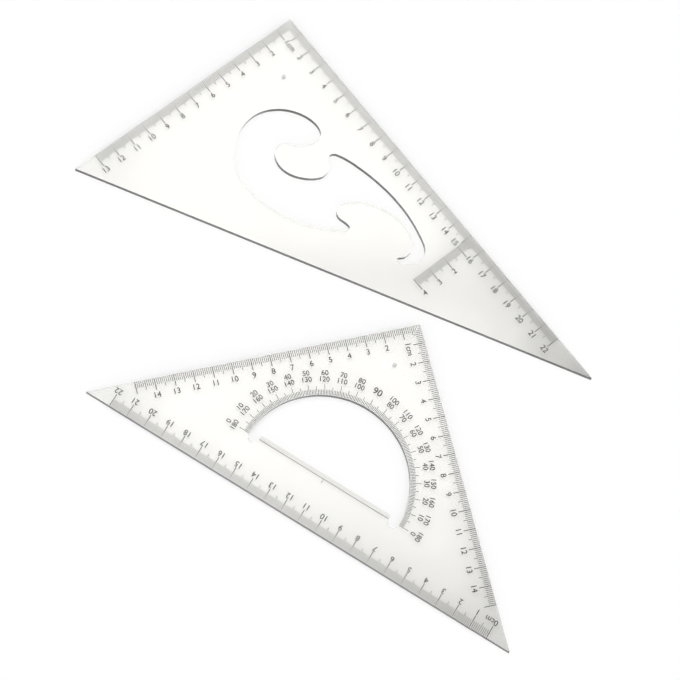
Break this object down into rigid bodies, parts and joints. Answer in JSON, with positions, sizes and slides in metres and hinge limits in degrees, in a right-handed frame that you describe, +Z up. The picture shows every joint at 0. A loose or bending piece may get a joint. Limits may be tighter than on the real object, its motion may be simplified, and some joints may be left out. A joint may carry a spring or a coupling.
{
  "type": "drafting triangle set",
  "caption": "Matched pair of clear flat drafting triangles with printed edge graduations, one with a French-curve cut-out and one with a protractor window.",
  "frame": {"origin": "middle of the pair's box on the table that both plates lie on", "axes": "+Z up out of the printed faces, +Y the longer way across the laid-out pair"},
  "size_m": [0.2646, 0.3376, 0.0031],
  "materials": {
    "clear_plastic": "clear, polished",
    "ink": "printed, matt"
  },
  "bodies": {
    "triangle_30_60": {"plate_30_60": "clear_plastic", "long_leg_scale": "ink", "short_leg_scale": "ink", "cross_scale": "ink"},
    "triangle_45": {"plate_45": "clear_plastic", "left_leg_scale": "ink", "right_leg_scale": "ink", "hypotenuse_scale": "ink", "protractor_scale": "ink", "protractor_base_line": "ink"}
  },
  "joints": [
    {"name": "lift_45", "type": "slide", "parent": "triangle_30_60", "child": "triangle_45", "axis": [0, 0, 1], "range_m": [0, 0.12]}
  ]
}
